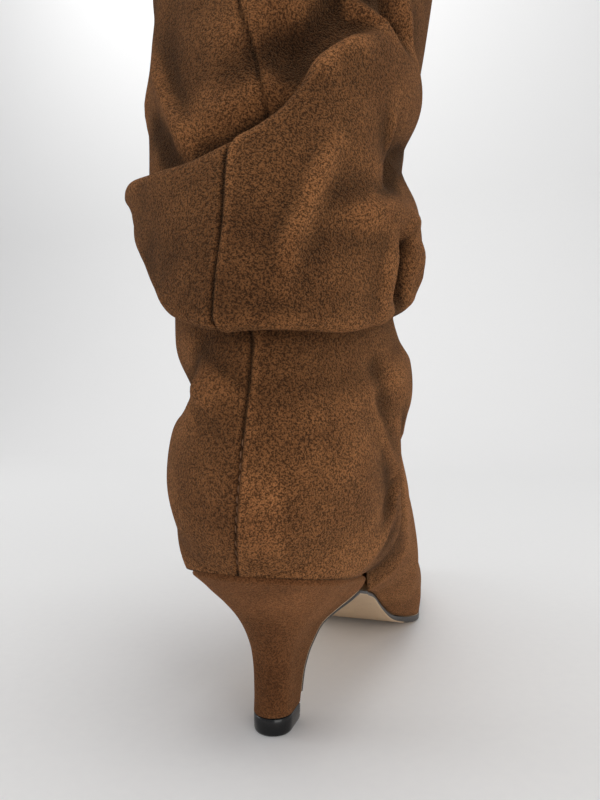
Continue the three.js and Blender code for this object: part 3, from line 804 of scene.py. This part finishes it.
# The foot, painted paler as painted light.
vamp_painted_light = (level_map <= 0) * smooth((outer_sheet[..., 1] - VAMP_FROM) / VAMP_OVER)
# The pocket under the band: the suede is painted dark there as painted shade, and the lining given
# room.
hole = line_relief([(67, 157), (62, 151), (60, 144)], HOLE_HALF)
# A thin painted shadow along the suede's edge above the sole and where it meets the heel.
feather = [np.linalg.norm(outer_sheet - outer_sheet[:, [end]], axis=-1) for end in (0, -1)]
from_edge = np.where(level_map > 0, outer_sheet[..., 2] - HEEL_HEIGHT, np.minimum(*feather))
at_edge = np.exp(-((from_edge / EDGE_SHADE) ** 2))
# Ridges painted pale, as wear and painted highlight, and hollows painted dark as painted shade.
ridge_light_and_hollow_shade = 0.55 * standing_out(FINE_REACH, FINE_HEIGHT) + 0.35 * standing_out(WIDE_REACH, WIDE_HEIGHT)
# Painted paler: the brushed counter, and the foot and ankle as painted light.
brushed_and_painted_light = 1.1 * brushed + 0.7 * vamp_painted_light + 0.2 * zone_of["ankle"]
# Painted shade in the seam's groove, in the pocket and along the edges.
shaded = 0.5 * on_seam + 0.9 * hole + 1.6 * at_edge
rub = np.clip(ridge_light_and_hollow_shade - ROUNDNESS + brushed_and_painted_light, -1, TONE_AND_SHADE_LIMIT) - shaded

# The collar: the suede is folded over the top edge and ends at the lining
RIM_ROWS = 7
top_outward = sheet_normals(outer_sheet)[-1] * (1, 1, 0)
top_outward /= np.linalg.norm(top_outward, axis=-1, keepdims=True)
rim_turn = np.linspace(0, math.pi, RIM_ROWS)[1:, None, None]
rim_sheet = outer_sheet[-1] - top_outward * WALL / 2 * (1 - np.cos(rim_turn))
rim_sheet = rim_sheet + np.array([0, 0, 1]) * WALL / 2 * np.sin(rim_turn)
suede_sheet = np.concatenate([outer_sheet, rim_sheet])
suede_tone_and_shade = np.concatenate([rub, np.repeat(rub[-1:], len(rim_sheet), axis=0)])


def suede_finish(name, dark, light, contrast, nap_depth):
    """Suede: brushed patches of two tones, made paler and darker by a painted tone and painted shade,
    under a nap of fine fibres.
    """
    finish = Finish(name)
    nap = finish.noise(0.00075, detail=2.0, roughness=0.7)
    grains = finish.noise(0.00045, detail=1.0)
    brushing = finish.noise(0.014, detail=3.0, roughness=0.6)
    patches = finish.noise(0.05, detail=2.0)
    tone_and_shade_value = finish.node("ShaderNodeAttribute", {"attribute_name": "rub"}, output="Fac")
    tone = finish.ramp(brushing * 0.5 + patches * 0.5, 0.36, 0.64)
    fibres = nap * 0.5 + grains * 0.5
    speckle = finish.ramp(fibres, 0.4, 0.6, 1 - contrast, 1 + contrast)
    # The painted tone: darker as painted shade in hollows, the seam, the pocket and along the edges,
    # paler where brushed, on ridges and on the lit foot.
    speckle = speckle * finish.ramp(tone_and_shade_value, -TONE_AND_SHADE_LIMIT, TONE_AND_SHADE_LIMIT, 0.15, 1.9)
    grey = finish.node("ShaderNodeCombineColor", {}, [speckle] * 3)
    finish.surface(
        Base_Color=finish.mix(1.0, finish.mix(tone, dark, light), grey, "MULTIPLY"),
        Roughness=1.0,
        Specular_IOR_Level=0.1,
        Sheen_Weight=0.2,
        Sheen_Roughness=0.4,
        Sheen_Tint=srgb(224, 172, 124),
        Normal=finish.bump(fibres, nap_depth),
    )
    return finish


def mark_tone_and_shade(piece, values):
    """How pale each point of a piece is painted, from -1 in a hollow, as painted shade, to 1 where it
    is brushed up.
    """
    marks = piece.data.attributes.new("rub", "FLOAT", "POINT")
    marks.data.foreach_set("value", np.asarray(values, np.float32))


suede = suede_finish("brown_suede", srgb(97, 62, 36), srgb(120, 79, 47), 0.62, 0.0025)
suede_points, suede_faces, suede_places = sheet_faces(suede_sheet)
upper = new_piece("upper_suede", suede_points, suede_faces, suede)
mark_tone_and_shade(upper, suede_tone_and_shade.reshape(-1)[suede_places])
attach(upper, "root")
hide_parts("upper")


# The lining: thin smooth leather glued to the back of the suede, from the collar's folded edge
# down to the insole.

LINING_STEP = 2
LINING_REACH = 3
HOLE_ROOM = 2
lining_leather = Finish("lining_leather")
lining_pores = lining_leather.noise(0.0007, detail=3.0)
lining_leather.surface(
    Base_Color=lining_leather.mix(lining_pores, srgb(178, 142, 104), srgb(190, 154, 116)),
    Roughness=0.6,
    Normal=lining_leather.bump(lining_pores, 0.0001),
)
lining_normals = sheet_normals(spread_out(outer_sheet, LINING_REACH, LINING_REACH))
inner_sheet = outer_sheet - lining_normals * WALL * (1 + HOLE_ROOM * hole[..., None])
inner_sheet[-1] = suede_sheet[-1]
lining_points, lining_faces, _ = sheet_faces(inner_sheet[::-1][::LINING_STEP, ::LINING_STEP])
lining = new_piece("upper_lining", lining_points, lining_faces, lining_leather)
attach(lining, "root")
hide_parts("upper")


# The stitches: brown thread in two runs, one up the counter's seam over the heel and one round
# the shaft that holds the collar's folded edge down.

THREAD_HALF = 0.00022
STITCH_LENGTH = 0.0022
STITCH_PITCH = 0.003
COLLAR_STITCHES_DOWN = 0.004
STITCH_SIDES = 6
SEAM_STITCHES_FROM = 0.0605
SEAM_STITCHES_TO = 0.094
STITCH_PROFILE = [(-1, 0.0), (-0.9, 0.7), (-0.6, 1.0), (0, 1.15), (0.6, 1.0), (0.9, 0.7), (1, 0.0)]


def on_leather(toward, height):
    """The leather's point in a direction and at a height, and its outward normal."""
    away = np.hypot((toward_map - toward) * ARC, outer_sheet[..., 2] - height)
    place = np.unravel_index(np.argmin(away + (level_map <= 0)), away.shape)
    return outer_sheet[place], leather_normals[place]


def stitch(toward, height, run):
    """One stitch as a sheet of rings: a round thread that dips into the leather at both ends."""
    middle, outward = on_leather(toward, height)
    run = run - outward * (run @ outward)
    run = run / np.linalg.norm(run)
    across = np.cross(run, outward)
    turn = 2 * math.pi * np.arange(STITCH_SIDES)[:, None] / STITCH_SIDES
    rings = []
    for share, size in STITCH_PROFILE:
        centre = middle + run * share * STITCH_LENGTH / 2 + outward * THREAD_HALF * (1 - share**2)
        ring = across * np.cos(turn) + outward * np.sin(turn)
        rings.append(centre + ring * THREAD_HALF * max(size, 0.05))
    return np.stack(rings)


thread = Finish("brown_thread")
thread_twist = thread.noise(0.0004, detail=2.0)
thread.surface(
    Base_Color=thread.mix(thread_twist, srgb(92, 58, 34), srgb(134, 92, 58)),
    Roughness=0.7,
    Normal=thread.bump(thread_twist, 0.0002),
)
leather_normals = sheet_normals(outer_sheet)
stitches = [
    stitch(float(seam_lines["ankle"].toward(height / MILLIMETRE)), height, np.array([0, 0, 1.0]))
    for height in np.arange(SEAM_STITCHES_FROM, SEAM_STITCHES_TO, STITCH_PITCH)
]
collar_height = BOOT_HEIGHT - COLLAR_STITCHES_DOWN
collar_run = 2 * math.pi * SHAFT_WIDTH / 2
for toward in np.arange(-180, 180, 360 * STITCH_PITCH / collar_run):
    outward = on_leather(toward, collar_height)[1]
    stitches.append(stitch(toward, collar_height, np.cross([0, 0, 1.0], outward)))
stitch_points = []
stitch_faces = []
for rings in stitches:
    first = len(stitch_points)
    stitch_points += list(rings.reshape(-1, 3))
    for row in range(len(rings) - 1):
        for i in range(STITCH_SIDES):
            here, following = (first + row * STITCH_SIDES + k % STITCH_SIDES for k in (i, i + 1))
            stitch_faces.append((here, following, following + STITCH_SIDES, here + STITCH_SIDES))
stitching = new_piece("upper_stitches", stitch_points, stitch_faces, thread)
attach(stitching, "root")
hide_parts("upper")


# The outsole: one piece of vegetable-tanned leather from the toe to the heel breast, glued under
# the upper. Its edge is trimmed, dyed dark and waxed, and its face is left natural.

sole_leather = Finish("sole_leather")
sole_pores = sole_leather.noise(0.0005, detail=3.0)
sole_grain = sole_leather.noise(0.012, detail=4.0, roughness=0.6)
sole_scuffs = sole_leather.ramp(sole_leather.noise(0.003, detail=5.0, roughness=0.75), 0.5, 0.75)
sole_leather.surface(
    Base_Color=sole_leather.mix(
        sole_scuffs * 0.5,
        sole_leather.mix(sole_grain, srgb(190, 160, 126), srgb(206, 178, 144)),
        srgb(160, 132, 102),
    ),
    Roughness=0.48,
    Normal=sole_leather.bump(sole_pores + sole_scuffs * -0.6, 0.0001),
)
edge_dye = Finish("edge_dye")
edge_pores = edge_dye.noise(0.0008, detail=3.0)
edge_dye.surface(
    Base_Color=edge_dye.mix(edge_pores, srgb(38, 33, 30), srgb(54, 47, 42)),
    Roughness=0.42,
    Normal=edge_dye.bump(edge_pores, 0.0001),
)

SOLE_BEVEL = 0.0005
SOLE_BULGE = 0.0002
FLAP_THICKNESS = 0.0015
FLAP_FROM = 0.875
FLAP_TO = 0.08
TIP_WIDTH = 0.0129
TIP_LENGTH = 0.0146
TIP_HEIGHT = 0.0056
TIP_TOP = TIP_HEIGHT + GAP
TIP_FRONT = TIP_LENGTH - TIP_WIDTH / 2

# The heel between its tip and the seat, as shares from the tip's size to the seat's
heel_line = curves(
    "rise spread breast corner",
    [
        (0, 0, 0, 0),
        (0.1, -0.005, 0.005, 0.02),
        (0.25, 0.002, 0.035, 0.05),
        (0.4, 0.035, 0.11, 0.11),
        (0.52, 0.11, 0.19, 0.2),
        (0.64, 0.24, 0.28, 0.32),
        (0.76, 0.45, 0.43, 0.58),
        (0.84, 0.63, 0.63, 0.79),
        (0.9, 0.765, 0.985, 0.93),
        (1, 1, 1, 1),
    ],
)


def breast_line(rise):
    """The heel's front line: how far forward, how high and half how wide it is."""
    return (
        lerp(TIP_FRONT, SEAT_BACK + HEEL_SEAT_LENGTH, heel_line.breast(rise)),
        lerp(TIP_TOP, last_bottom(BREAST_AT) - GAP, rise),
        lerp(TIP_WIDTH / 2, half_width(BREAST_AT), heel_line.corner(rise)),
    )


sole_at = np.concatenate(
    [
        lerp(1, TREAD_TO, 1 - np.cos(math.pi / 2 * eased(36))),
        lerp(TREAD_FROM, FRONT_OF_RIM, eased(40)),
    ]
)
sole_swing = sole_line.swing(sole_at) * BALL_WIDTH
sole_middle = np.stack([sole_swing, along(sole_at), last_bottom(sole_at) - GAP], -1)
sole_away = np.tile([0.0, 0.0, -1.0], (len(sole_at), 1))
sole_thick = SOLE_THICKNESS * sole_line.thick(sole_at)
sole_half = half_width(sole_at)
flap_rise = lerp(FLAP_FROM, FLAP_TO, eased(40))
flap_y, flap_z, flap_half = breast_line(flap_rise)
flap_run = np.stack([np.gradient(flap_y), np.gradient(flap_z)], -1)
flap_run /= np.linalg.norm(flap_run, axis=-1, keepdims=True)
flap_away = np.stack([0 * flap_y, -flap_run[:, 1], flap_run[:, 0]], -1)
flap_middle = np.stack([0 * flap_y, flap_y, flap_z], -1) + flap_away * GAP
plate_middle = np.concatenate([sole_middle, flap_middle])[:, None]
plate_away = np.concatenate([sole_away, flap_away])[:, None]
plate_thick = np.concatenate([sole_thick, 0 * flap_y + FLAP_THICKNESS])[:, None]
plate_half = np.concatenate([sole_half, flap_half])[:, None]

# A section of the plate: down its right edge with a small bevel, and back up its left
EDGE_ROWS = 6
edge_down = eased(EDGE_ROWS)
edge_out = SOLE_BULGE * np.sin(math.pi * edge_down) - SOLE_BEVEL * (edge_down == 1)
face_share = np.linspace(1, -1, 9)[1:-1]
section_side = np.concatenate([0 * edge_down + 1, face_share, 0 * edge_down - 1])[None]
section_out = np.concatenate([edge_out, 0 * face_share - SOLE_BEVEL, edge_out[::-1]])[None]
section_down = np.concatenate([edge_down, 0 * face_share + 1, edge_down[::-1]])[None]
plate_x = section_side * np.maximum(0, plate_half + section_out)
plate_sheet = plate_middle + plate_away * (section_down * plate_thick)[..., None]
plate_sheet[..., 0] += plate_x
plate_points, plate_faces, _ = sheet_faces(plate_sheet, closed=True)


def is_edge(face):
    """Whether a face of the plate stands on its edge rather than on its front or back."""
    corners = plate_points[face[:3]]
    normal = np.cross(corners[1] - corners[0], corners[2] - corners[0])
    flat = math.hypot(normal[1], normal[2])
    toe = corners[:, 1].min() > along(0.97)
    return abs(normal[0]) > 0.7 * flat or (toe and abs(normal[2]) < 0.6 * np.linalg.norm(normal))


outsole = new_piece(
    "outsole_leather",
    plate_points,
    plate_faces,
    sole_leather,
    edge_dye,
    slots=[int(is_edge(face)) for face in plate_faces],
)
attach(outsole, "root")
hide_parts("outsole")


# The heel: a moulded block covered in the upper's suede, which is stretched over it and glued
# with its edge tucked under at the seat.

HEEL_ROWS = 72
HEEL_ROUND = 56
HEEL_SIDE = 12
TUCK = 0.002
TUCK_SHARE = 0.04
HEEL_PALE_FROM = 0.03
HEEL_PALE_OVER = 0.015
HEEL_PALE_LOW = 0.1
HEEL_PALE_RISE = 0.6


def heel_ring(rise):
    """A ring of points round the heel at a share of its height."""
    spread = heel_line.spread(rise)
    tuck = TUCK * smooth((rise - 1 + TUCK_SHARE) / TUCK_SHARE)
    half = lerp(TIP_WIDTH / 2, SEAT_WIDTH / 2, spread) - tuck
    rear = lerp(-TIP_WIDTH / 2, SEAT_BACK, spread) + tuck
    rear_height = lerp(TIP_TOP, HEEL_HEIGHT - GAP, rise)
    front, front_height, front_half = breast_line(rise)
    turn = math.pi * (eased(HEEL_ROUND) - 0.5)
    share = eased(HEEL_SIDE)[1:]
    side_x = lerp(half, front_half - tuck, share)
    side_y = lerp(rear + half, front, share)
    breast_x = np.linspace(side_x[-1], -side_x[-1], 8)[1:-1]
    x = np.concatenate([half * np.sin(turn), side_x, breast_x, -side_x[::-1]])
    y = np.concatenate([rear + half * (1 - np.cos(turn)), side_y, 0 * breast_x + front, side_y[::-1]])
    z = lerp(rear_height, front_height, (y - rear) / (front - rear))
    return np.stack([x, y, z], -1)


def capped(sheet):
    """A closed sheet's points and faces, with a face across each end."""
    points, faces, _ = sheet_faces(sheet, closed=True)
    index = {tuple(np.round(point / 1e-7).astype(int)): i for i, point in enumerate(points)}
    for ring in (sheet[0], sheet[-1][::-1]):
        corners = dict.fromkeys(index[tuple(np.round(point / 1e-7).astype(int))] for point in ring)
        faces.append(list(corners))
    return points, faces


heel_suede = suede_finish("heel_suede", srgb(84, 52, 30), srgb(106, 68, 41), 0.36, 0.0012)
heel_sheet = np.stack([heel_ring(rise) for rise in eased(HEEL_ROWS)])
heel = new_piece("heel_cover", *capped(heel_sheet), heel_suede)
# The heel's suede is painted paler towards the top.
heel_heights = np.array([corner.co.z for corner in heel.data.vertices])
heel_paler_up = smooth((heel_heights - HEEL_PALE_FROM) / HEEL_PALE_OVER)
mark_tone_and_shade(heel, HEEL_PALE_LOW + HEEL_PALE_RISE * heel_paler_up)
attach(heel, "root")
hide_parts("heel")


# The heel tip: a glossy black plastic top piece, pressed on with its pin and rounded at the back.

tip_plastic = Finish("tip_plastic")
tip_scratches = tip_plastic.noise(0.0012, detail=4.0, roughness=0.7)
tip_plastic.surface(
    Base_Color=tip_plastic.mix(tip_scratches, srgb(9, 9, 10), srgb(20, 20, 21)),
    Roughness=tip_plastic.ramp(tip_scratches, 0.3, 0.8, 0.14, 0.3),
    Specular_IOR_Level=0.3,
    Coat_Weight=0.15,
    Coat_Roughness=0.06,
    Normal=tip_plastic.bump(tip_scratches, 0.00003),
)

TIP_TAPER = 0.96
TIP_BEVEL = 0.0004
tip_profile = [
    (0.0, TIP_TAPER - 0.05),
    (TIP_BEVEL, TIP_TAPER),
    (0.0011, 0.985),
    (0.0028, 1.0),
    (TIP_HEIGHT - TIP_BEVEL, 1.0),
    (TIP_HEIGHT, 0.96),
]


def tip_ring(height, size):
    turn = math.pi * (eased(60) - 0.5)
    radius = TIP_WIDTH / 2 * size
    side_y = np.linspace(0, TIP_FRONT * size, 9)[1:]
    breast_x = np.linspace(radius, -radius, 9)[1:-1]
    x = np.concatenate([radius * np.sin(turn), 0 * side_y + radius, breast_x, 0 * side_y - radius])
    y = np.concatenate([-radius * np.cos(turn), side_y, 0 * breast_x + side_y[-1], side_y[::-1]])
    return np.stack([x, y, 0 * x + height], -1)


tip_sheet = np.stack([tip_ring(height, size) for height, size in tip_profile])
heel_tip = new_piece("heel_tip_plastic", *capped(tip_sheet), tip_plastic)
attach(heel_tip, "root")
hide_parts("heel_tip")
